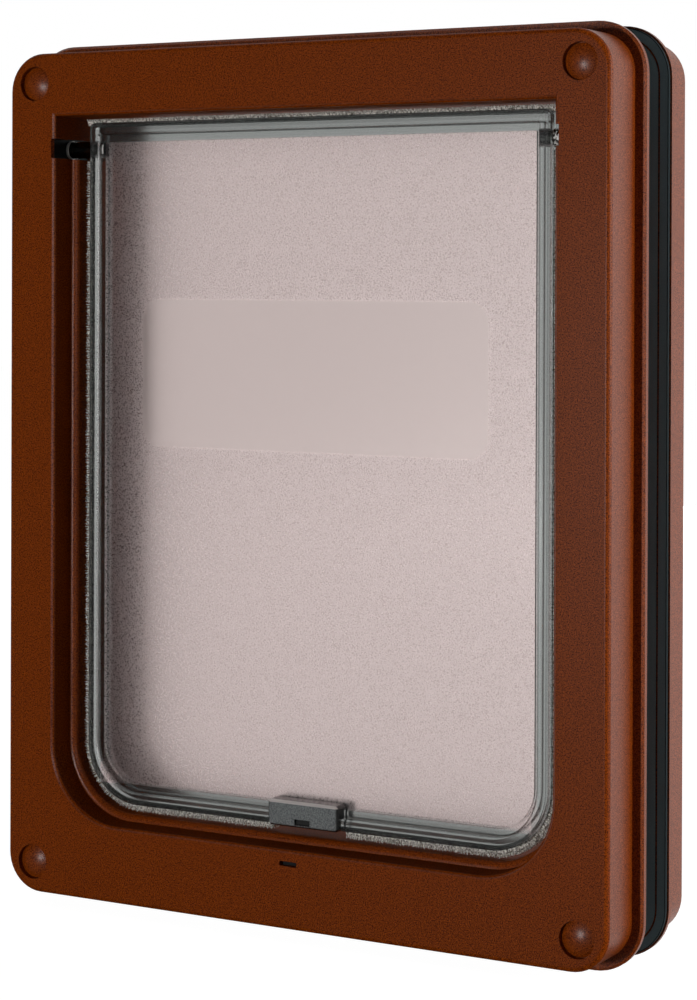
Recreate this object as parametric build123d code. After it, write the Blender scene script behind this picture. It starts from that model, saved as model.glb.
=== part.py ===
import os

from build123d import *

# A two-way pet door for a door panel, in millimetres. X runs across the door, +Y into the room
# behind it and +Z up. The origin is the middle of the door panel that the two frames clamp.

# The door panel and the outline of the frames
DOOR_T = 24.0
SEAL_T = 2.0
FLANGE_W = 360.0
FLANGE_H = 456.0
FLANGE_T = 4.0
FLANGE_STEP = 5.6
HOUSING_D = 28.0
HOUSING_R = 20.0
WALL = 3.0
EDGE_R = 2.5
FLANGE_EDGE = 1.3
LIP_EDGE = 1.4

# The opening through both frames, by the width of frame left round it
SIDE_MARGIN = 29.0
TOP_MARGIN = 33.2
BOTTOM_MARGIN = 39.9
OPEN_R = 40.0
SPIGOT = 8.0

# Seal strips on each frame, the low rib between them and the stiffeners
RIB_T = 0.9
RIB_H = 1.6
SEAL_INSET = 1.0
SEAL_GAP = 0.1
SEAL_REACH = 7.5
STIFFENER_T = 2.0
SIDE_STIFFENER_PITCH = 60.0
SIDE_STIFFENERS = 5
END_STIFFENER_FIRST = 60.0
END_STIFFENER_PITCH = 50.0
END_STIFFENERS = 2

# Clamp screws, caps and threaded inserts
SCREW_INSET = 16.0
SCREW_D = 5.0
SCREW_CLEAR = 0.25
HEAD_D = 9.5
HEAD_H = 3.5
HEAD_SET = 9.4
DRIVE_AF = 4.0
DRIVE_DEEP = 2.2
BOSS_D = 13.0
BORE_D = 11.0
CAP_D = 17.5
CAP_SEAT_D = 18.2
CAP_SEAT = 3.9
CUP_WALL = 2.0
CAP_EDGE = 1.3
CAP_RISE = 2.4
CAP_PLUG = 1.5
CAP_FIT = 0.05
INSERT_D = 7.6
INSERT_L = 14.0
INSERT_SET = 1.0
INSERT_FIT = 0.02
THREAD_FIT = 0.06
SCREW_END = 1.5

# Tunnel liner, a channel down both sides and across the floor
LINER_T = 3.6
LINER_FIT = 0.2
LINER_SET = 15.0
LINER_NOSE = 0.2

# Hinge line, bearing blocks and pins
FLAP_SET = 24.0
HINGE_DROP = 17.2
PIN_D = 9.0
PIN_RUN = 0.08
PIN_SOCKET = 7.0
PIN_SOCKET_FIT = 0.04
PIN_REACH = 4.2
PIN_NECK_D = 7.6
PIN_NECK_W = 1.2
PIN_NECK_SET = 1.6
NOTCH_H = 10.4
NOTCH_DEEP = 2.2
POCKET = 3.6
BLOCK_T = 10.0
BLOCK_H = 15.0
BLOCK_FIT = 0.15
BEARING_END = 0.8

# Flap: a thin panel with a stepped rim
FLAP_SIDE_GAP = 10.4
FLAP_TOP_GAP = 3.4
FLAP_BOTTOM_GAP = 8.6
FLAP_TOP_R = 3.0
PANEL_T = 3.0
RIM_T = 14.0
RIM_W = 6.2
LEDGE_W = 2.3
LEDGE_T = 7.6
TOP_LEDGE_W = 3.9
FOOT_LEDGE_W = 4.1
RIM_EDGE = 0.8

# Brush strips in the groove of the rim
GROOVE_W = 5.2
GROOVE_DEEP = 2.2
BACKING_FIT = 0.1
PILE_ROOT = 0.3
PILE_L = 4.2
PILE_T = 9.0
TOP_PILE_GAP = 0.8
TOP_PILE_T = 6.0
BRUSH_END = 2.0

# Magnet holder on the flap and magnet under the sill
HOLDER_W = 41.0
HOLDER_H = 13.2
HOLDER_DROP = 0.2
HOLDER_PROUD = 3.5
HOLDER_EDGE = 1.4
HOLDER_FIT = 0.2
MAGNET_H = 6.0
MAGNET_T = 5.0
MAGNET_FIT = 0.1
WINDOW_W = 9.0
WINDOW_H = 3.0
HOLDER_SCREW_INSET = 3.5
MAGNET_SCREW_GAP = 3.0
HOLDER_SCREW_D = 2.5
HOLDER_HEAD_D = 4.4
HOLDER_HEAD_H = 1.6
DRIVE_SLOT_W = 0.7
SLOT_W = 10.0
SLOT_H = 2.4
SLOT_DROP = 6.8
TRAY_W = 44.0
TRAY_H = 9.0
TRAY_L = 25.0
TRAY_WALL = 1.6
TRAY_FIT = 0.15

# Places that follow from the sizes above
MATE_Y = -DOOR_T / 2 - SEAL_T
STEP_Y = MATE_Y - FLANGE_T
FRONT_Y = STEP_Y - HOUSING_D
INNER_Y = FRONT_Y + WALL
RIB_Y = MATE_Y + RIB_H
FLAP_Y = FRONT_Y + FLAP_SET
HOUSING_W = FLANGE_W - 2 * FLANGE_STEP
HOUSING_H = FLANGE_H - 2 * FLANGE_STEP
SCREW_X = HOUSING_W / 2 - SCREW_INSET
SCREW_Z = HOUSING_H / 2 - SCREW_INSET
OPEN_HALF_W = HOUSING_W / 2 - SIDE_MARGIN
OPEN_TOP = HOUSING_H / 2 - TOP_MARGIN
OPEN_BOTTOM = BOTTOM_MARGIN - HOUSING_H / 2
FLAP_HALF_W = OPEN_HALF_W - FLAP_SIDE_GAP
FLAP_TOP = OPEN_TOP - FLAP_TOP_GAP
FLAP_BOTTOM = OPEN_BOTTOM + FLAP_BOTTOM_GAP
FLAP_R = OPEN_R - FLAP_BOTTOM_GAP
TOP_PILE_L = FLAP_TOP_GAP - TOP_PILE_GAP
HINGE_Z = OPEN_TOP - HINGE_DROP
BLOCK_FACE = OPEN_HALF_W + WALL + POCKET
PIN_IN = FLAP_HALF_W - PIN_SOCKET
PIN_OUT = BLOCK_FACE + PIN_REACH
HOLDER_BOTTOM = FLAP_BOTTOM - HOLDER_DROP
HOLDER_TOP = HOLDER_BOTTOM + HOLDER_H
HOLDER_SCREW_Z = (HOLDER_TOP + FLAP_BOTTOM) / 2
HOLDER_SCREW_X = HOLDER_W / 2 - HOLDER_SCREW_INSET
MAGNET_W = 2 * (HOLDER_SCREW_X - MAGNET_SCREW_GAP)
CORNERS = [(x, z) for x in (-SCREW_X, SCREW_X) for z in (-SCREW_Z, SCREW_Z)]


def upright(y):
    """The plane of the door at depth y, seen from the front: local x is X and local y is Z."""
    return Plane(origin=(0, y, 0), x_dir=(1, 0, 0), z_dir=(0, -1, 0))


def slab(sketch, y0, y1):
    """An outline drawn in the plane of the door, made solid from depth y0 to depth y1."""
    return extrude(upright(y1) * sketch, y1 - y0)


def block(x0, x1, y0, y1, z0, z1):
    """A box given by its limits."""
    return Pos((x0 + x1) / 2, (y0 + y1) / 2, (z0 + z1) / 2) * Box(x1 - x0, y1 - y0, z1 - z0)


def rod(x, z, y0, y1, dia):
    """A round bar along Y."""
    return slab(Pos(x, z) * Circle(dia / 2), y0, y1)


def bar(x0, x1, y, z, dia):
    """A round bar along X."""
    return Pos((x0 + x1) / 2, y, z) * Rot(0, 90, 0) * Cylinder(dia / 2, x1 - x0)


def casing(inset):
    """The outline of the housing, drawn in on every side."""
    return RectangleRounded(HOUSING_W - 2 * inset, HOUSING_H - 2 * inset, HOUSING_R - inset)


def prism(across, sides):
    """A regular outline of an even number of sides, with flats to left and right."""
    return Rot(0, 0, 180 / sides) * RegularPolygon(across / 2, sides, major_radius=False)


def bay(grow):
    """The outline of the opening, grown all round."""
    half, top, bottom = OPEN_HALF_W + grow, OPEN_TOP + grow, OPEN_BOTTOM - grow
    outline = Pos(0, (top + bottom) / 2) * Rectangle(2 * half, top - bottom)
    return fillet(outline.vertices().group_by(Axis.Y)[0], OPEN_R + grow)


def leaf(side, top=None, bottom=None):
    """The outline of the flap, grown by its own amount at the sides, the top and the bottom."""
    top = side if top is None else top
    bottom = side if bottom is None else bottom
    half, high, low = FLAP_HALF_W + side, FLAP_TOP + top, FLAP_BOTTOM - bottom
    outline = Pos(0, (high + low) / 2) * Rectangle(2 * half, high - low)
    outline = fillet(outline.vertices().group_by(Axis.Y)[0], FLAP_R + bottom)
    return fillet(outline.vertices().group_by(Axis.Y)[-1], max(FLAP_TOP_R + side, 1.0))


def front_edges(shape):
    """The edges that lie in the foremost plane of a shape."""
    return shape.edges().group_by(Axis.Y)[0]


# One frame moulding, drawn as the front one
def frame_moulding():
    housing = slab(casing(0), FRONT_Y, MATE_Y)
    housing = fillet(front_edges(housing), EDGE_R)
    flange = slab(casing(-FLANGE_STEP), STEP_Y, MATE_Y)
    flange = chamfer(front_edges(flange), FLANGE_EDGE)
    shell = housing + flange + slab(casing(0) - casing(RIB_T), MATE_Y, RIB_Y)
    shell -= slab(casing(WALL) - bay(WALL), INNER_Y, RIB_Y)
    shell += slab(bay(WALL), MATE_Y - WALL, MATE_Y + SPIGOT)
    shell -= slab(bay(0), FRONT_Y - WALL, MATE_Y + SPIGOT + WALL)
    lip = [e for e in front_edges(shell) if abs(e.center().X) < OPEN_HALF_W + 1]
    lip = [e for e in lip if OPEN_BOTTOM - 1 < e.center().Z < OPEN_TOP + 1]
    shell = chamfer(lip, LIP_EDGE)
    half = STIFFENER_T / 2
    side = HOUSING_W / 2 - WALL / 2
    high = HOUSING_H / 2 - WALL / 2
    inner = OPEN_HALF_W + WALL / 2
    front = INNER_Y - WALL / 2
    webs = []
    for i in range(SIDE_STIFFENERS):
        z = (i - (SIDE_STIFFENERS - 1) / 2) * SIDE_STIFFENER_PITCH
        webs.append(block(inner, side, front, MATE_Y, z - half, z + half))
        webs.append(block(-side, -inner, front, MATE_Y, z - half, z + half))
    for i in range(END_STIFFENERS):
        reach = END_STIFFENER_FIRST + i * END_STIFFENER_PITCH
        for x in (-reach, reach):
            webs.append(block(x - half, x + half, front, MATE_Y, OPEN_TOP + WALL / 2, high))
            webs.append(block(x - half, x + half, front, MATE_Y, -high, OPEN_BOTTOM - WALL / 2))
    for x, z in CORNERS:
        out_x = side if x > 0 else -side
        out_z = high if z > 0 else -high
        webs.append(slab(Pos(x, z) * prism(BOSS_D, 8), front, RIB_Y))
        webs.append(block(min(x, out_x), max(x, out_x), front, MATE_Y, z - half, z + half))
        webs.append(block(x - half, x + half, front, MATE_Y, min(z, out_z), max(z, out_z)))
    return shell + webs


moulding = frame_moulding()


# Front frame: cap seats, screw ways, hinge pockets and the slot under the sill
def hinge_cut(side):
    """The notch in one side of the opening, open to the front and to the back."""
    wide = OPEN_HALF_W + WALL + BLOCK_FIT
    low, high = HINGE_Z - NOTCH_H / 2, HINGE_Z + NOTCH_H / 2
    notch = block(OPEN_HALF_W - WALL, OPEN_HALF_W + NOTCH_DEEP, FRONT_Y - 1, INNER_Y, low, high)
    notch += block(OPEN_HALF_W - WALL, wide, INNER_Y, MATE_Y + SPIGOT + 1, low, high)
    return notch if side > 0 else mirror(notch, about=Plane.YZ)


front = moulding
for x, z in CORNERS:
    cup = Pos(x, z) * prism(CAP_SEAT_D + 2 * CUP_WALL, 8)
    front += slab(cup, INNER_Y - WALL / 2, FRONT_Y + CAP_SEAT + CUP_WALL)
    front -= rod(x, z, FRONT_Y - EDGE_R, FRONT_Y + CAP_SEAT, CAP_SEAT_D)
    front -= rod(x, z, FRONT_Y, FRONT_Y + HEAD_SET, BORE_D)
    front -= rod(x, z, FRONT_Y, RIB_Y + 1, SCREW_D + 2 * SCREW_CLEAR)
guide = BLOCK_H / 2 + BLOCK_FIT
for side in (-1, 1):
    out_x = side * (HOUSING_W / 2 - WALL / 2)
    in_x = side * (OPEN_HALF_W + WALL / 2)
    x0, x1 = min(in_x, out_x), max(in_x, out_x)
    for z0 in (HINGE_Z + guide, HINGE_Z - guide - STIFFENER_T):
        front += block(x0, x1, INNER_Y - WALL / 2, MATE_Y, z0, z0 + STIFFENER_T)
    front -= hinge_cut(side)
front -= slab(Pos(0, OPEN_BOTTOM - SLOT_DROP) * Rectangle(SLOT_W, SLOT_H), FRONT_Y - 1, INNER_Y)
tray_top = OPEN_BOTTOM - WALL - TRAY_FIT
tray_low = tray_top - TRAY_H - TRAY_FIT - STIFFENER_T
tray_side = TRAY_W / 2 + TRAY_FIT
for x0 in (-tray_side - STIFFENER_T, tray_side):
    reach = tray_low + STIFFENER_T / 2
    front += block(x0, x0 + STIFFENER_T, INNER_Y - WALL / 2, MATE_Y, reach, tray_top + WALL)
far = tray_side + STIFFENER_T
front += block(-far, far, INNER_Y - WALL / 2, MATE_Y, tray_low, tray_low + STIFFENER_T)

# Back frame: the same moulding turned to face it, with blind holes for the inserts
back = mirror(moulding, about=Plane.XZ)
for x, z in CORNERS:
    depth = -RIB_Y + INSERT_SET + INSERT_L
    back -= slab(Pos(x, z) * prism(INSERT_D + 2 * INSERT_FIT, 6), -RIB_Y - 1, depth)
    back -= rod(x, z, depth, depth + 2 * SCREW_END, SCREW_D + 2 * SCREW_CLEAR)

# Seals between each frame and the door: one strip outside the rib and one inside it
outer_strip = casing(SEAL_INSET - FLANGE_STEP) - casing(-SEAL_GAP)
inner_strip = casing(RIB_T + SEAL_GAP) - casing(SEAL_REACH)
strips = [slab(strip, MATE_Y, MATE_Y + SEAL_T) for strip in (outer_strip, inner_strip)]
front_seal = Compound(children=strips)
back_seal = mirror(front_seal, about=Plane.XZ)


# Tunnel liner with rounded ends, pushed into both frames
def liner():
    top = HINGE_Z - NOTCH_H / 2 - 2 * LINER_FIT
    reach = OPEN_HALF_W + WALL
    channel = bay(-LINER_FIT) - bay(-LINER_FIT - LINER_T)
    channel &= Pos(0, (top + OPEN_BOTTOM) / 2) * Rectangle(2 * reach, top - OPEN_BOTTOM)
    shape = slab(channel, FRONT_Y + LINER_SET, -FRONT_Y - LINER_SET)
    ends = shape.edges().group_by(Axis.Y)[0] + shape.edges().group_by(Axis.Y)[-1]
    inside = OPEN_HALF_W - LINER_FIT - LINER_T / 2
    floor = OPEN_BOTTOM + LINER_FIT + LINER_T / 2
    bow = OPEN_R - LINER_FIT - LINER_T / 2
    lips = []
    for edge in ends:
        point = edge @ 0.5
        dx = max(abs(point.X) - inside + bow, 0)
        dz = max(floor + bow - point.Z, 0)
        if point.Z < top - LINER_T and (dx * dx + dz * dz) ** 0.5 < bow:
            lips.append(edge)
    return fillet(lips, LINER_T - LINER_NOSE)


# Screw caps, screws and inserts
def cap(x, z):
    """A shallow dome on a rim, with a plug that fits the screw bore."""
    seat = FRONT_Y + CAP_SEAT
    half = CAP_D / 2
    ball = (half * half + CAP_RISE * CAP_RISE) / (2 * CAP_RISE)
    rim = rod(x, z, seat - CAP_EDGE, seat, CAP_D)
    dome = Pos(x, seat - CAP_EDGE - CAP_RISE + ball, z) * Sphere(ball)
    dome &= rod(x, z, seat - CAP_EDGE - CAP_RISE - 1, seat - CAP_EDGE, CAP_D)
    return rim + dome + rod(x, z, seat, seat + CAP_PLUG, BORE_D - 2 * CAP_FIT)


def screw(x, z):
    """A long screw with a round head and a socket drive."""
    under = FRONT_Y + HEAD_SET
    tip = -RIB_Y + INSERT_SET + INSERT_L + SCREW_END
    shape = rod(x, z, under - HEAD_H, under, HEAD_D) + rod(x, z, under, tip, SCREW_D)
    drive = Pos(x, z) * prism(DRIVE_AF, 6)
    return shape - slab(drive, under - HEAD_H - 1, under - HEAD_H + DRIVE_DEEP)


def insert(x, z):
    """A hexagon bush pressed in the back boss."""
    first = -RIB_Y + INSERT_SET
    shape = slab(Pos(x, z) * prism(INSERT_D, 6), first, first + INSERT_L)
    return shape - rod(x, z, first - 1, first + INSERT_L + 1, SCREW_D + 2 * THREAD_FIT)


# Hinge: a black block slid into its pocket, and a steel pin fixed in the flap
def hinge_block():
    inner = OPEN_HALF_W + WALL + BLOCK_FIT
    low, high = HINGE_Z - BLOCK_H / 2, HINGE_Z + BLOCK_H / 2
    shape = block(inner, BLOCK_FACE + BLOCK_T, INNER_Y, MATE_Y, low, high)
    low, high = HINGE_Z - NOTCH_H / 2, HINGE_Z + NOTCH_H / 2
    shape -= block(inner - 1, BLOCK_FACE, INNER_Y - 1, MATE_Y + 1, low, high)
    end = PIN_OUT + BEARING_END
    return shape - bar(BLOCK_FACE - 1, end, FLAP_Y, HINGE_Z, PIN_D + 2 * PIN_RUN)


def hinge_pin():
    shape = bar(PIN_IN, PIN_OUT, FLAP_Y, HINGE_Z, PIN_D)
    first = OPEN_HALF_W + PIN_NECK_SET
    neck = bar(first, first + PIN_NECK_W, FLAP_Y, HINGE_Z, PIN_D + 1)
    neck -= bar(first - 1, first + PIN_NECK_W + 1, FLAP_Y, HINGE_Z, PIN_NECK_D)
    return shape - neck


# Flap: panel, stepped rim, groove for the brush and sockets for the pins
def flap_moulding():
    ledge = leaf(-RIM_W)
    panel = leaf(-RIM_W - LEDGE_W, top=-RIM_W - TOP_LEDGE_W, bottom=-RIM_W - FOOT_LEDGE_W)
    shape = slab(leaf(0) - ledge, FLAP_Y - RIM_T / 2, FLAP_Y + RIM_T / 2)
    rims = shape.edges().group_by(Axis.Y)[0] + shape.edges().group_by(Axis.Y)[-1]
    shape = chamfer(rims, RIM_EDGE)
    shape += slab(leaf(-RIM_W / 2) - panel, FLAP_Y - LEDGE_T / 2, FLAP_Y + LEDGE_T / 2)
    shape += slab(leaf(-RIM_W / 2), FLAP_Y - PANEL_T / 2, FLAP_Y + PANEL_T / 2)
    groove = leaf(1) - leaf(-GROOVE_DEEP)
    shape -= slab(groove, FLAP_Y - GROOVE_W / 2, FLAP_Y + GROOVE_W / 2)
    for side in (-1, 1):
        x0, x1 = sorted((side * PIN_IN, side * (FLAP_HALF_W + 1)))
        shape -= bar(x0, x1, FLAP_Y, HINGE_Z, PIN_D + 2 * PIN_SOCKET_FIT)
    clear = HOLDER_W / 2 + HOLDER_FIT
    deep = RIM_T + 2 * HOLDER_PROUD
    high = HOLDER_TOP + HOLDER_FIT
    for y in (FLAP_Y - PANEL_T / 2 - deep, FLAP_Y + PANEL_T / 2):
        shape -= block(-clear, clear, y, y + deep, FLAP_BOTTOM - 1, high)
    for x in (-HOLDER_SCREW_X, HOLDER_SCREW_X):
        hole = HOLDER_SCREW_D + 2 * SCREW_CLEAR
        shape -= rod(x, HOLDER_SCREW_Z, FLAP_Y - PANEL_T, FLAP_Y + PANEL_T, hole)
    foot = FLAP_BOTTOM + GROOVE_DEEP
    return shape - block(-clear, clear, FLAP_Y - RIM_T, FLAP_Y + RIM_T, FLAP_BOTTOM - 1, foot)


# Brush strips: a backing in the groove and a pile beyond the rim
def brush(pile, pile_t):
    thick = GROOVE_W / 2 - BACKING_FIT
    backing = slab(leaf(PILE_ROOT) - leaf(-GROOVE_DEEP), FLAP_Y - thick, FLAP_Y + thick)
    tuft = slab(pile - leaf(PILE_ROOT), FLAP_Y - pile_t / 2, FLAP_Y + pile_t / 2)
    return backing + tuft


def side_brush(side):
    strip = brush(leaf(PILE_L), PILE_T)
    deep = RIM_T
    top = HINGE_Z - PIN_D / 2 - BRUSH_END
    near = HOLDER_W / 2 + HOLDER_FIT + PILE_ROOT
    x0, x1 = sorted((side * near, side * (FLAP_HALF_W + 2 * PILE_L)))
    return strip & block(x0, x1, FLAP_Y - deep, FLAP_Y + deep, FLAP_BOTTOM - 2 * PILE_L, top)


def top_brush():
    strip = brush(leaf(PILE_L, top=TOP_PILE_L), TOP_PILE_T)
    half = FLAP_HALF_W + 2 * PILE_L
    low = HINGE_Z + PIN_D / 2 + BRUSH_END
    return strip & block(-half, half, FLAP_Y - RIM_T, FLAP_Y + RIM_T, low, FLAP_TOP + 2 * PILE_L)


# Magnet holder: two half shells screwed together through the foot of the panel
def holder_half(side):
    """side is -1 in front of the panel and 1 behind it."""
    near = FLAP_Y + side * PANEL_T / 2
    far = FLAP_Y + side * (RIM_T / 2 + HOLDER_PROUD)
    y0, y1 = min(near, far), max(near, far)
    shape = block(-HOLDER_W / 2, HOLDER_W / 2, y0, y1, HOLDER_BOTTOM, HOLDER_TOP)
    outer = shape.edges().group_by(Axis.Y)[0 if side < 0 else -1]
    shape = chamfer(outer + shape.edges().filter_by(Axis.Y), HOLDER_EDGE)
    middle = (HOLDER_TOP + HOLDER_BOTTOM) / 2
    half_h = MAGNET_H / 2 + MAGNET_FIT
    half_w = MAGNET_W / 2 + MAGNET_FIT
    deep = near + side * (MAGNET_T + MAGNET_FIT)
    m0, m1 = min(near, deep), max(near, deep)
    shape -= block(-half_w, half_w, m0, m1, middle - half_h, middle + half_h)
    for x in (-HOLDER_SCREW_X, HOLDER_SCREW_X):
        if side > 0:
            shape -= rod(x, HOLDER_SCREW_Z, y0 - 1, y1 + 1, HOLDER_SCREW_D + 2 * SCREW_CLEAR)
            shape -= rod(x, HOLDER_SCREW_Z, y1 - HOLDER_HEAD_H, y1 + 1, HOLDER_HEAD_D + 2 * SCREW_CLEAR)
        else:
            shape -= rod(x, HOLDER_SCREW_Z, y1 - MAGNET_T, y1 + 1, HOLDER_SCREW_D + 2 * THREAD_FIT)
    if side < 0:
        z0 = HOLDER_BOTTOM + HOLDER_EDGE
        half = WINDOW_W / 2
        shape -= block(-half, half, y0 - 1, y0 + HOLDER_EDGE, z0, z0 + WINDOW_H)
    return shape


def flap_magnet(side):
    middle = (HOLDER_TOP + HOLDER_BOTTOM) / 2
    y0, y1 = sorted((FLAP_Y + side * PANEL_T / 2, FLAP_Y + side * (PANEL_T / 2 + MAGNET_T)))
    half = MAGNET_W / 2
    return block(-half, half, y0, y1, middle - MAGNET_H / 2, middle + MAGNET_H / 2)


def holder_screw(x):
    z = HOLDER_SCREW_Z
    face = FLAP_Y + RIM_T / 2 + HOLDER_PROUD
    tip = FLAP_Y - PANEL_T / 2 - MAGNET_T + BEARING_END
    shape = rod(x, z, tip, face - HOLDER_HEAD_H, HOLDER_SCREW_D)
    head = rod(x, z, face - HOLDER_HEAD_H, face, HOLDER_HEAD_D)
    half = DRIVE_SLOT_W / 2
    across = HOLDER_HEAD_D
    slot = block(x - across, x + across, face - HOLDER_HEAD_H / 2, face + 1, z - half, z + half)
    return shape + head - slot


# Tray and magnet under the sill, behind the slot
def sill_tray():
    half = TRAY_W / 2
    y0 = INNER_Y
    shape = block(-half, half, y0, y0 + TRAY_L, tray_top - TRAY_H, tray_top)
    half_w = MAGNET_W / 2 + MAGNET_FIT
    return shape - block(-half_w, half_w, y0 + TRAY_WALL, y0 + TRAY_L - TRAY_WALL,
                         tray_top - TRAY_H + TRAY_WALL, tray_top + 1)


def sill_magnet():
    half = MAGNET_W / 2
    y0 = INNER_Y + TRAY_WALL + MAGNET_FIT
    y1 = INNER_Y + TRAY_L - TRAY_WALL - MAGNET_FIT
    floor = tray_top - TRAY_H + TRAY_WALL
    return block(-half, half, y0, y1, floor, floor + MAGNET_H)


pin = hinge_pin()
bearing = hinge_block()
nodes = {
    "front_frame": front,
    "back_frame": back,
    "front_seal": front_seal,
    "back_seal": back_seal,
    "tunnel_liner": liner(),
    "screw_caps": Compound(children=[cap(x, z) for x, z in CORNERS]),
    "clamp_screws": Compound(children=[screw(x, z) for x, z in CORNERS]),
    "threaded_inserts": Compound(children=[insert(x, z) for x, z in CORNERS]),
    "hinge_block_left": mirror(bearing, about=Plane.YZ),
    "hinge_block_right": bearing,
    "sill_tray": sill_tray(),
    "sill_magnet": sill_magnet(),
    "flap": flap_moulding(),
    "hinge_pin_left": mirror(pin, about=Plane.YZ),
    "hinge_pin_right": pin,
    "brush_top": top_brush(),
    "brush_left": side_brush(-1),
    "brush_right": side_brush(1),
    "magnet_holder_front": holder_half(-1),
    "magnet_holder_back": holder_half(1),
    "flap_magnets": Compound(children=[flap_magnet(-1), flap_magnet(1)]),
    "holder_screws": Compound(children=[holder_screw(x) for x in (-HOLDER_SCREW_X, HOLDER_SCREW_X)]),
}

os.makedirs("parts", exist_ok=True)
for name, shape in nodes.items():
    export_step(shape, f"parts/{name}.step")
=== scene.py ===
import math
import random

import bpy
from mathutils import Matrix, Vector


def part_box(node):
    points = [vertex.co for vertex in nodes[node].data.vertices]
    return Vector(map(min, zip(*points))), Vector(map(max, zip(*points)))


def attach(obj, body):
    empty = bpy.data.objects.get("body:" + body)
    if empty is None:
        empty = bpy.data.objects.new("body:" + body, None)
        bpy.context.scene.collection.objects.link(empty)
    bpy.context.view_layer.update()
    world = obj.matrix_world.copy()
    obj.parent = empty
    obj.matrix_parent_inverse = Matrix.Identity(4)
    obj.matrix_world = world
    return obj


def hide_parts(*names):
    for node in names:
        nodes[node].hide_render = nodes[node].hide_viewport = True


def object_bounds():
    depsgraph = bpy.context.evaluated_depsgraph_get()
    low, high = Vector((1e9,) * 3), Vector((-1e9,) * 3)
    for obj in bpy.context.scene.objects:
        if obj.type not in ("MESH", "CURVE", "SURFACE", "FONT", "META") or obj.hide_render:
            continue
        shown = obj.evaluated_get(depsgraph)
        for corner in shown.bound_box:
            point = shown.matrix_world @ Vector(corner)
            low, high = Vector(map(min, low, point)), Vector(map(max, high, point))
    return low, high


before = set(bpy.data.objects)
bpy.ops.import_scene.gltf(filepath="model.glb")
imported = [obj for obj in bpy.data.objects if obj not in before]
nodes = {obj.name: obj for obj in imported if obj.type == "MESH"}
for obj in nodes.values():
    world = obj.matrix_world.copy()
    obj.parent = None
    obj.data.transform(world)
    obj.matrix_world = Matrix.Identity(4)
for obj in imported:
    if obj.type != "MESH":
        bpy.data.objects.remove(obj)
cad_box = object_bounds()

# Front and back frames, the tunnel liner and the screw caps are injection mouldings in one brown
# ABS with a fine spark-eroded grain. The frames clamp the door, the liner slides into both, and the
# caps push into round seats over the screws.


class Tone:
    """A shader value. Arithmetic on it adds Math nodes to its material."""

    def __init__(self, tree, socket):
        self.tree = tree
        self.socket = socket

    def node(self, kind, settings=None, sockets=None, output=0):
        """Adds a node: its settings are set first, then the values or links of its sockets."""
        new = self.tree.nodes.new(kind)
        for name, value in (settings or {}).items():
            setattr(new, name, value)
        for name, value in (sockets or {}).items():
            if isinstance(value, Tone):
                self.tree.links.new(value.socket, new.inputs[name])
            else:
                new.inputs[name].default_value = value
        return Tone(self.tree, new.outputs[output]) if new.outputs else None

    def math(self, operation, first, second=0.0):
        """Any other Math node."""
        return self.node("ShaderNodeMath", {"operation": operation}, {0: first, 1: second})

    def __add__(self, other):
        return self.math("ADD", self, other)

    def __radd__(self, other):
        return self.math("ADD", other, self)

    def __sub__(self, other):
        return self.math("SUBTRACT", self, other)

    def __rsub__(self, other):
        return self.math("SUBTRACT", other, self)

    def __mul__(self, other):
        return self.math("MULTIPLY", self, other)

    def __rmul__(self, other):
        return self.math("MULTIPLY", other, self)

    def __gt__(self, other):
        return self.math("GREATER_THAN", self, other)

    def __lt__(self, other):
        return self.math("LESS_THAN", self, other)

    def __abs__(self):
        return self.math("ABSOLUTE", self)

    def blend(self, first, second):
        """A colour between two others, by this value."""
        sockets = {0: self, 6: first, 7: second}
        return self.node("ShaderNodeMix", {"data_type": "RGBA"}, sockets, 2)

    def noise(self, scale, detail=2.0, roughness=0.5):
        """Noise over this place, with about that many lumps to the metre."""
        sockets = {"Vector": self, "Scale": scale, "Detail": detail, "Roughness": roughness}
        return self.node("ShaderNodeTexNoise", None, sockets, "Fac")

    def punch(self, gain):
        """More contrast about the middle of the range."""
        settings = {"operation": "MULTIPLY_ADD", "use_clamp": True}
        return self.node("ShaderNodeMath", settings, {0: self, 1: gain, 2: 0.5 - gain / 2})

    def bump(self, strength, distance):
        """A normal that takes this value as a height, in metres at full strength."""
        sockets = {"Strength": strength, "Distance": distance, "Height": self}
        return self.node("ShaderNodeBump", None, sockets)

    def above(self, least):
        """How far this value is above another, or zero."""
        return self.math("MAXIMUM", self - least, 0.0)

    def axes(self):
        """The three coordinates of this place."""
        split = self.node("ShaderNodeSeparateXYZ", None, {"Vector": self}).socket.node
        return [Tone(self.tree, out) for out in split.outputs]


def new_finish(name):
    """A material with no nodes yet, and the object's own coordinates in it, in metres."""
    material = bpy.data.materials.new(name)
    material.use_nodes = True
    material.node_tree.nodes.clear()
    coordinates = material.node_tree.nodes.new("ShaderNodeTexCoord")
    return material, Tone(material.node_tree, coordinates.outputs["Object"])


def close_finish(place, sockets):
    """Ends a material in one surface shader."""
    surface = place.node("ShaderNodeBsdfPrincipled", None, sockets)
    place.node("ShaderNodeOutputMaterial", None, {"Surface": surface})


def srgb(red, green, blue):
    """A colour of 8-bit screen values as a linear shader colour."""
    linear = []
    for value in (red, green, blue):
        share = value / 255
        linear.append(share / 12.92 if share < 0.04045 else ((share + 0.055) / 1.055) ** 2.4)
    return (*linear, 1)


def dress(material, *names):
    """Gives pieces of the frame their material."""
    for name in names:
        for slot in nodes[name].material_slots:
            slot.material = material


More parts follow.
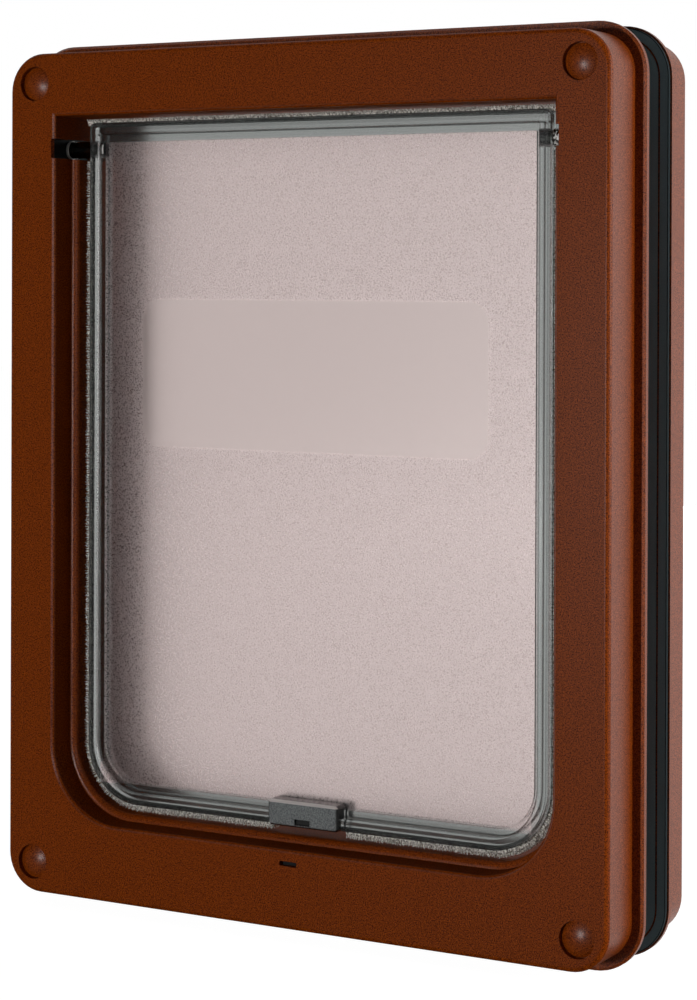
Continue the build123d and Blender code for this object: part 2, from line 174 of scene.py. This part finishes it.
def brown_abs(name, polish, shine):
    """Grained brown plastic. Polish works out how glossy it is at each place."""
    material, place = new_finish(name)
    grain = place.noise(scale=1650, detail=3.0, roughness=0.6)
    peaks = grain.punch(gain=3.6)
    pit_brown = place.noise(scale=14).blend(srgb(62, 16, 0), srgb(68, 19, 0))
    peak_brown = srgb(150, 66, 1)
    rough_least, rough_more = 0.5, 0.16
    polish_in_pits, polish_more_on_peaks = 0.8, 0.4
    close_finish(place, {
        "Base Color": peaks.blend(pit_brown, peak_brown),
        "Roughness": rough_least + grain * rough_more,
        "Specular IOR Level": 0.02,
        "Coat Weight": polish(*place.axes()) * (polish_in_pits + peaks * polish_more_on_peaks),
        "Coat Roughness": shine,
        "Normal": grain.bump(strength=0.6, distance=0.0002),
    })
    return material


open_half, open_top, open_foot, open_r = 0.1454, 0.1892, -0.1825, 0.04
lip_edge, outer_edge, wall_fit = 0.0014, 0.0025, 0.0002
ridge_from = lip_edge * 0.45
face_gloss, lip_gloss, ridge_gloss, side_gloss = 0.17, 0.08, 0.72, 0.6
face_y = cad_box[1].y


def frame_polish(x, y, z):
    """The frames' sides and a ridge on the lips of the opening shine more than the grained faces, and
    the walls of the opening not at all."""
    off_x = abs(x).above(open_half - open_r)
    off_z = (open_foot + open_r - z).above(0.0)
    off = off_x * off_x + off_z * off_z
    wall = (off < (open_r + wall_fit) ** 2) * (z < open_top + wall_fit)
    lip = (off < (open_r + lip_edge) ** 2) * (z < open_top + lip_edge) * (abs(y) > face_y - lip_edge)
    ridge = off.math("MAXIMUM", off > (open_r + ridge_from) ** 2, z > open_top + ridge_from)
    face = (abs(y) > face_y - outer_edge) * (1 - lip)
    side = (1 - face) * (1 - lip) * (1 - wall)
    return face * face_gloss + lip * (lip_gloss + ridge * ridge_gloss) + side * side_gloss


nose_long, nose_gloss = 0.003, 0.35
nose_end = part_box("tunnel_liner")[0].y + nose_long
cap_gloss = 0.5


def liner_polish(x, y, z):
    """Only the liner's front nose shines."""
    return (y < nose_end) * nose_gloss


def cap_polish(x, y, z):
    """The caps shine evenly."""
    return cap_gloss


dress(brown_abs("brown_frame", frame_polish, shine=0.32), "front_frame", "back_frame")
dress(brown_abs("brown_liner", liner_polish, shine=0.3), "tunnel_liner")
dress(brown_abs("brown_cap", cap_polish, shine=0.34), "screw_caps")

# Foam seals: two strips of charcoal closed-cell foam behind each frame, cut from sheet and stuck down
# on both sides of its low rib. The outer cut edge carries a painted shade, darker than the skin, over
# the light that the side lamp throws on that edge.
foam, place = new_finish("charcoal_foam")
cells = place.noise(scale=1500, detail=4.0, roughness=0.7)
seal_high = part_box("front_seal")[1]
seal_r, cut_deep = 0.0246, 0.0005
x, _, z = place.axes()
off_x = abs(x).above(seal_high.x - seal_r)
off_z = abs(z).above(seal_high.z - seal_r)
# painted shade: the outer cut edge of the foam is coloured dark
shaded_cut_edge = off_x * off_x + off_z * off_z > (seal_r - cut_deep) ** 2
skin = cells.blend(srgb(106, 122, 126), srgb(146, 163, 168))
close_finish(place, {
    "Base Color": shaded_cut_edge.blend(skin, srgb(40, 48, 50)),
    "Roughness": 0.95,
    "Specular IOR Level": 0.1,
    "Normal": cells.bump(strength=0.6, distance=0.0003),
})
dress(foam, "front_seal", "back_seal")

# Clamp screws, holder screws and inserts: the screws are zinc-plated steel. The clamp screws run into
# hexagon brass bushes pressed into the bosses of the back frame, and the holder screws join the two
# halves of the magnet holder.
zinc, place = new_finish("zinc_plate")
turning = place.noise(scale=900)
zinc_rough, zinc_rough_more = 0.3, 0.2
close_finish(place, {
    "Base Color": turning.blend(srgb(150, 150, 146), srgb(186, 184, 176)),
    "Metallic": 1.0,
    "Roughness": zinc_rough + turning * zinc_rough_more,
})
dress(zinc, "clamp_screws", "holder_screws")
brass, place = new_finish("turned_brass")
turning = place.noise(scale=1200)
brass_rough, brass_rough_more = 0.28, 0.15
close_finish(place, {
    "Base Color": turning.blend(srgb(176, 138, 70), srgb(206, 170, 98)),
    "Metallic": 1.0,
    "Roughness": brass_rough + turning * brass_rough_more,
})
dress(brass, "threaded_inserts")

# Hinge blocks and the sill tray: black acetal mouldings with a fine dull grain, slid into pockets of
# the front frame. The blocks are the bearings of the pins, and the tray carries the sill magnet.
black, place = new_finish("black_acetal")
grain = place.noise(scale=1800, detail=3.0)
acetal_rough, acetal_rough_more = 0.3, 0.2
close_finish(place, {
    "Base Color": grain.blend(srgb(12, 11, 11), srgb(24, 22, 21)),
    "Roughness": acetal_rough + grain * acetal_rough_more,
    "Specular IOR Level": 0.15,
    "Normal": grain.bump(strength=0.2, distance=0.0001),
})
dress(black, "hinge_block_left", "hinge_block_right", "sill_tray")

# Magnets: plain bars of sintered ferrite with ground faces. Two lie in the flap's holder and one in
# the sill tray.
ferrite, place = new_finish("ferrite")
grain = place.noise(scale=1400, detail=4.0, roughness=0.7)
ferrite_rough, ferrite_rough_more = 0.55, 0.25
close_finish(place, {
    "Base Color": grain.blend(srgb(34, 34, 37), srgb(62, 61, 64)),
    "Roughness": ferrite_rough + grain * ferrite_rough_more,
    "Normal": grain.bump(strength=0.4, distance=0.0002),
})
dress(ferrite, "sill_magnet", "flap_magnets")

# Hinge pins and their collars: polished steel with painted light and shade. The pins are painted dark,
# a painted dark reflection of their shaded pockets, and painted glints, near-white and less metallic,
# sit on the collars, at the pins' inner ends and in patches of the right-hand pin. The pins are fixed
# in the flap's corners, and a sprung C-collar, spun from a flat section, is snapped over each pin
# inside its hinge block.
steel, place = new_finish("polished_steel")
turning = place.noise(scale=700)
pin_low, pin_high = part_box("hinge_pin_right")
collar_x, collar_wide, collar_thick, collar_fit = 0.1511, 0.0013, 0.0005, 0.00003
ring_half, tip_long = collar_wide * 0.6, 0.001
x = place.axes()[0]
# painted glints: near-white, less metallic places on the collars, the pins' inner ends and the
# right-hand pin
glint_mask = abs(abs(x) - collar_x) < ring_half
glint_mask = glint_mask.math("MAXIMUM", glint_mask, abs(x) < pin_low.x + tip_long)
glint_mask = glint_mask.math("MAXIMUM", glint_mask, (x > 0) * turning.punch(gain=9.0))
glint_dulling, steel_rough, steel_rough_more = 0.7, 0.1, 0.1
glint_white = turning.blend(srgb(236, 233, 228), srgb(250, 248, 244))
# the dark body colour is painted shade, and the glint mask paints highlights over it
close_finish(place, {
    "Base Color": glint_mask.blend(srgb(96, 94, 91), glint_white),
    "Metallic": 1.0 - glint_mask * glint_dulling,
    "Roughness": steel_rough + turning * steel_rough_more,
})
dress(steel, "hinge_pin_left", "hinge_pin_right")
pin_y = (pin_low.y + pin_high.y) / 2
pin_z = (pin_low.z + pin_high.z) / 2
pin_r = (pin_high.z - pin_low.z) / 2
collar_sweep = math.radians(310)
collar_edge, collar_steps = 0.00015, 40


def turn_collar():
    """The collar on the right-hand pin: a flat section spun round the pin's axis."""
    bpy.ops.object.select_all(action="DESELECT")
    bpy.ops.mesh.primitive_plane_add(size=1)
    bpy.ops.object.mode_set(mode="EDIT")
    bpy.ops.transform.resize(value=(collar_wide, collar_thick, 1))
    away = pin_r + collar_fit + collar_thick / 2
    bpy.ops.transform.translate(value=(collar_x, pin_y + away, pin_z))
    middle = (collar_x, pin_y, pin_z)
    bpy.ops.mesh.spin(steps=collar_steps, angle=collar_sweep, center=middle, axis=(1, 0, 0))
    bpy.ops.mesh.select_all(action="SELECT")
    bpy.ops.mesh.remove_doubles(threshold=1e-7)
    bpy.ops.mesh.normals_make_consistent(inside=False)
    bpy.ops.object.mode_set(mode="OBJECT")
    collar = bpy.context.object
    collar.name = collar.data.name = "pin_collar_right"
    bevel = collar.modifiers.new("edge", "BEVEL")
    bevel.width = collar_edge
    bevel.segments = 2
    bpy.ops.object.modifier_apply(modifier="edge")
    bpy.ops.object.shade_smooth_by_angle()
    return collar


def mirror_copy(piece, name):
    """The same piece for the left-hand side, with its own mesh."""
    bpy.ops.object.select_all(action="DESELECT")
    piece.select_set(True)
    bpy.context.view_layer.objects.active = piece
    bpy.ops.object.duplicate()
    copy = bpy.context.object
    copy.name = copy.data.name = name
    copy.scale = (-1, 1, 1)
    bpy.ops.object.transform_apply(scale=True)
    bpy.ops.object.mode_set(mode="EDIT")
    bpy.ops.mesh.select_all(action="SELECT")
    bpy.ops.mesh.flip_normals()
    bpy.ops.object.mode_set(mode="OBJECT")
    return copy


collar_right = turn_collar()
collar_right.data.materials.append(steel)
for collar in (collar_right, mirror_copy(collar_right, "pin_collar_left")):
    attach(collar, "flap")

# Flap: one clear polycarbonate moulding. The panel is textured to a frost, and a plain rectangle in the
# upper half of the panel is left smoother, with a painted highlight line round it. The rim is polished
# and tinted grey with painted light and shade: lighter on the left side than on the right, top and
# foot.
# Fine bright lines along the rim are painted reflections.
flap_low, flap_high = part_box("flap")
rim_wide, rim_tall_top, rim_tall_foot = 0.0085, 0.0101, 0.0103
plain_x, plain_half, plain_low, plain_high = -0.0022, 0.1018, 0.0155, 0.0925
plain_r, plain_line = 0.011, 0.0006
corner_r = 0.0314
flap_plastic, place = new_finish("frosted_polycarbonate")
x, _, z = place.axes()
inside = (abs(x) < flap_high.x - rim_wide) * (z < flap_high.z - rim_tall_top)
inside = inside * (z > flap_low.z + rim_tall_foot)
off_x = abs(x).above(flap_high.x - corner_r)
off_z = (flap_low.z + corner_r - z).above(0.0)
off = off_x * off_x + off_z * off_z
from_edge = off.math("MINIMUM", corner_r - off.math("SQRT", off), flap_high.z - z)
# painted reflections: bright lines along the rim, and painted shade that keeps the right, top and foot
# darker than the left
reflection_lines = from_edge.noise(scale=1500, detail=1.0).punch(gain=3.0)
lit_left_rim = reflection_lines.blend(srgb(112, 116, 114), srgb(190, 193, 191))
shaded_rim = reflection_lines.blend(srgb(100, 103, 101), srgb(160, 163, 161))
rim = (x < rim_wide - flap_high.x).blend(shaded_rim, lit_left_rim)
off_x = abs(x - plain_x).above(plain_half - plain_r)
off_z = abs(z - (plain_low + plain_high) / 2).above((plain_high - plain_low) / 2 - plain_r)
off = off_x * off_x + off_z * off_z
plain = off < plain_r * plain_r
# painted highlight: a thin lighter line round the plain rectangle
plain_edge_highlight = off < (plain_r + plain_line) ** 2
frost = place.noise(scale=1600, roughness=0.6)
textured = inside * (1 - plain)
rim_rough, panel_rough_more = 0.22, 0.06
frost_spread, frost_drop = 0.54, 0.18
frost_rough = frost.punch(gain=3.2) * frost_spread - frost_drop
frosted = frost.punch(gain=2.4).blend(srgb(164, 149, 147), srgb(220, 203, 201))
frosted = plain_edge_highlight.blend(frosted, srgb(209, 193, 190))
frosted = plain.blend(frosted, srgb(193, 178, 175))
close_finish(place, {
    "Base Color": inside.blend(rim, frosted),
    "Roughness": rim_rough + inside * panel_rough_more + textured * frost_rough,
    "IOR": 1.5,
    "Transmission Weight": 1.0,
})
dress(flap_plastic, "flap")

# Brush strips: nylon bristles set in the groove round the rim, fanning out to the sides. A short length
# is set bristle by bristle and repeated. The side strips bend round the flap's lower corners, and the
# top strip runs straight.
pile, place = new_finish("nylon_pile")
fibre = place.noise(scale=1100, detail=1.0, roughness=0.6).punch(gain=4.0)
pile_rough, pile_rough_more = 0.5, 0.2
close_finish(place, {
    "Base Color": fibre.blend(srgb(92, 80, 68), srgb(255, 250, 242)),
    "Roughness": pile_rough + fibre * pile_rough_more,
})
draw = random.Random(7)
bristle_thick, bristle_pitch, bristle_taper = 0.0003, 0.0007, 0.4
bristle_sway, shortest = 0.13, 0.86
root_half, root_share, root_cuts = 0.0022, 0.6, 5
length_run = 0.012
side_rows, top_rows = 9, 7
flap_y = (flap_low.y + flap_high.y) / 2


def bristle_length(reach, half_width, rows):
    """A short length of strip along X, its bristles standing along Y and fanning out along Z."""
    bpy.ops.object.select_all(action="DESELECT")
    bpy.ops.mesh.primitive_cube_add(size=1)
    bpy.ops.object.mode_set(mode="EDIT")
    root_tall = reach * root_share
    bpy.ops.transform.resize(value=(length_run, root_tall, root_half * 2))
    bpy.ops.transform.translate(value=(length_run / 2, root_tall / 2, 0))
    bpy.ops.mesh.subdivide(number_cuts=root_cuts)
    for i in range(rows):
        for j in range(round(length_run / bristle_pitch)):
            across = (i + draw.random()) / rows * 2 - 1
            along = j * bristle_pitch + draw.uniform(-1, 1) * bristle_thick
            tall = reach * draw.uniform(shortest, 1.0)
            tip, root = across * half_width, across * root_half
            lean = math.atan2(tip - root, tall) - math.pi / 2
            bpy.ops.mesh.primitive_cone_add(
                vertices=3, radius1=bristle_thick, radius2=bristle_thick * bristle_taper, depth=tall,
                end_fill_type="NOTHING", location=(along, tall / 2, (root + tip) / 2),
                rotation=(lean, 0, draw.gauss(0, bristle_sway)))
    bpy.ops.object.mode_set(mode="OBJECT")
    return bpy.context.object


def repeat_along(strip, length):
    """Repeats the short length, closed up a little so that a whole number of them fills the strip."""
    array = strip.modifiers.new("repeat", "ARRAY")
    array.count = math.ceil(length / length_run)
    array.use_relative_offset = False
    array.use_constant_offset = True
    array.constant_offset_displace = ((length - length_run) / (array.count - 1), 0, 0)
    bpy.ops.object.modifier_apply(modifier="repeat")


def settle(strip, name, location):
    """Stands a strip up in its place, which goes into its mesh, and gives it its material."""
    strip.rotation_euler = (math.pi / 2, 0, 0)
    strip.location = location
    bpy.ops.object.transform_apply(location=True, rotation=True, scale=True)
    strip.name = strip.data.name = name
    strip.data.materials.append(pile)


pile_low, pile_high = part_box("brush_right")
groove = 0.001
side_x, foot_z = flap_high.x - groove, flap_low.z + groove
bow = corner_r - groove
quarter_circle = 0.5523
round_off = quarter_circle * bow
path = bpy.data.curves.new("brush_path", "CURVE")
path.dimensions = "2D"
path.resolution_u = 32
spline = path.splines.new("BEZIER")
spline.bezier_points.add(3)
turns = [(side_x, pile_high.z), (side_x, foot_z + bow), (side_x - bow, foot_z), (pile_low.x, foot_z)]
for point, (along, up) in zip(spline.bezier_points, turns):
    point.co = (along, up, 0)
    point.handle_left_type = point.handle_right_type = "VECTOR"
bend_in, bend_out = spline.bezier_points[1], spline.bezier_points[2]
bend_in.handle_right_type = bend_out.handle_left_type = "FREE"
bend_in.handle_right = (side_x, foot_z + bow - round_off, 0)
bend_out.handle_left = (side_x - bow + round_off, foot_z, 0)
path_object = bpy.data.objects.new("brush_path", path)
bpy.context.scene.collection.objects.link(path_object)
run = pile_high.z - foot_z - bow + math.pi / 2 * bow + side_x - bow - pile_low.x

brush_right = bristle_length(pile_high.x - side_x, (pile_high.y - pile_low.y) / 2, side_rows)
repeat_along(brush_right, run)
wrap = brush_right.modifiers.new("wrap", "CURVE")
wrap.object = path_object
wrap.deform_axis = "POS_X"
bpy.ops.object.modifier_apply(modifier="wrap")
bpy.data.objects.remove(path_object)
settle(brush_right, "brush_pile_right", (0, flap_y, 0))
brush_left = mirror_copy(brush_right, "brush_pile_left")

top_low, top_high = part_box("brush_top")
root_z = flap_high.z - groove
brush_top = bristle_length(top_high.z - root_z, (top_high.y - top_low.y) / 2, top_rows)
repeat_along(brush_top, pile_high.x * 2)
settle(brush_top, "brush_pile_top", (-pile_high.x, flap_y, root_z))
for node, piece in (("brush_right", brush_right), ("brush_left", brush_left), ("brush_top", brush_top)):
    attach(piece, "flap")
    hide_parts(node)

# Magnet holder: two smoked polycarbonate shells, screwed together through the foot of the panel. The
# front is speckled by its texture and painted lighter than the top and back, which carry painted shade,
# and the bevel along its top edge is a painted highlight.
smoked, place = new_finish("smoked_polycarbonate")
haze = place.noise(scale=1700, detail=3.0)
holder_low, holder_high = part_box("magnet_holder_front")
face_deep, brow_deep = 0.0006, 0.0014
_, y, z = place.axes()
face = y < holder_low.y + face_deep
brow_highlight = (y < holder_low.y + brow_deep) * (z > holder_high.z - brow_deep)
# painted light and shade: lighter speckled front, dark top and back, and a pale painted highlight on
# the top bevel
speckle = haze.punch(gain=3.0).blend(srgb(92, 96, 96), srgb(160, 164, 164))
speckle = brow_highlight.blend(speckle, srgb(250, 240, 236))
smoked_rough, smoked_rough_more = 0.18, 0.12
close_finish(place, {
    "Base Color": face.math("MAXIMUM", face, brow_highlight).blend(srgb(36, 37, 36), speckle),
    "Roughness": smoked_rough + haze * smoked_rough_more,
    "Transmission Weight": 0.3,
})
dress(smoked, "magnet_holder_front", "magnet_holder_back")

# Stage: a white paper floor under the part and a white room behind it, five soft boxes, of which two
# give only glints and one only lights the back, and the camera as the photo was taken.
floor_gap, floor_size = 0.0005, 12
bpy.ops.object.select_all(action="DESELECT")
bpy.ops.mesh.primitive_plane_add(size=floor_size, location=(0, 0, cad_box[0].z - floor_gap))
floor = bpy.context.object
floor.name = "floor"
white, place = new_finish("white_paper")


def seen_directly(tree, *rays):
    """One for a ray of the named kinds that has met no matt surface yet, and zero for the rest."""
    first_matt = 0.5
    path = tree.nodes.new("ShaderNodeLightPath")
    seen = Tone(tree, path.outputs[rays[0]])
    for ray in rays[1:]:
        seen = seen.math("MAXIMUM", seen, Tone(tree, path.outputs[ray]))
    return seen * (Tone(tree, path.outputs["Diffuse Depth"]) < first_matt)


seen = seen_directly(place.tree, "Is Camera Ray", "Is Transmission Ray")
mirrored = seen_directly(place.tree, "Is Glossy Ray") * (place.axes()[1] > 0)
seen = seen.math("MAXIMUM", seen, mirrored)
paper_grey, glow_share, glow_strength = 0.4, 0.6, 1.64
paper = place.node("ShaderNodeBsdfDiffuse", None, {"Color": (paper_grey, paper_grey, paper_grey, 1)})
glow = place.node("ShaderNodeEmission", None, {"Color": (1, 1, 1, 1), "Strength": glow_strength})
sheet = place.node("ShaderNodeMixShader", None, {0: seen * glow_share, 1: paper, 2: glow})
place.node("ShaderNodeOutputMaterial", None, {"Surface": sheet})
floor.data.materials.append(white)

world = bpy.data.worlds.new("studio")
bpy.context.scene.world = world
world.use_nodes = True
world.node_tree.nodes.clear()
backdrop = seen_directly(world.node_tree, "Is Camera Ray", "Is Transmission Ray")
mirrored = seen_directly(world.node_tree, "Is Glossy Ray")
heading = Tone(world.node_tree, world.node_tree.nodes.new("ShaderNodeTexCoord").outputs["Generated"])
half_turn = 0.5
behind = (heading.axes()[1] * half_turn + half_turn).punch(gain=3.0)
room = 0.08
lit = backdrop.math("MAXIMUM", backdrop, mirrored * behind)
sockets = {"Color": (1, 1, 1, 1), "Strength": room + lit * (1 - room)}
sky = backdrop.node("ShaderNodeBackground", None, sockets)
backdrop.node("ShaderNodeOutputWorld", None, {"Surface": sky})


def soft_box(name, location, size, power, matt=True, glints=True):
    """A rectangular lamp that faces the origin. It can light only matt surfaces, or only glints."""
    bpy.ops.object.light_add(type="AREA", location=location)
    lamp = bpy.context.object
    lamp.name = name
    lamp.data.shape = "RECTANGLE"
    lamp.data.size, lamp.data.size_y = size
    lamp.data.energy = power
    lamp.visible_transmission = False
    lamp.visible_diffuse = matt
    lamp.visible_glossy = glints
    right, behind, up = location
    lamp.rotation_euler = (math.atan2(math.hypot(right, behind), up), 0, math.atan2(right, -behind))


soft_box("side_box", location=(2.5, 0.0, 0.1), size=(0.08, 1.8), power=68)
soft_box("front_box", location=(-0.3, -2.3, -0.3), size=(0.3, 0.8), power=55)
soft_box("back_box", location=(-0.8, 2.3, 0.1), size=(0.6, 0.8), power=45, glints=False)
soft_box("wall_glint", location=(1.6, 1.0, 0.1), size=(0.6, 1.8), power=36, matt=False)
soft_box("edge_glint", location=(1.8, -1.4, 0.1), size=(0.4, 1.8), power=10, matt=False)

picture_wide, picture_tall = 697, 1000
focal_px, centre_px = 2551.2, (353.17, 289.88)
camera_data = bpy.data.cameras.new("camera")
camera_data.sensor_width = 36
camera_data.lens = camera_data.sensor_width * focal_px / picture_tall
camera_data.shift_x = (picture_wide / 2 - centre_px[0]) / picture_tall
camera_data.shift_y = (centre_px[1] - picture_tall / 2) / picture_tall
camera = bpy.data.objects.new("camera", camera_data)
camera.location = (0.6588, -1.1380, 0.1051)
camera.rotation_euler = (math.radians(89.69), math.radians(-0.20), math.radians(29.68))
bpy.context.scene.collection.objects.link(camera)
bpy.context.scene.camera = camera
bpy.context.scene.view_settings.view_transform = "Standard"
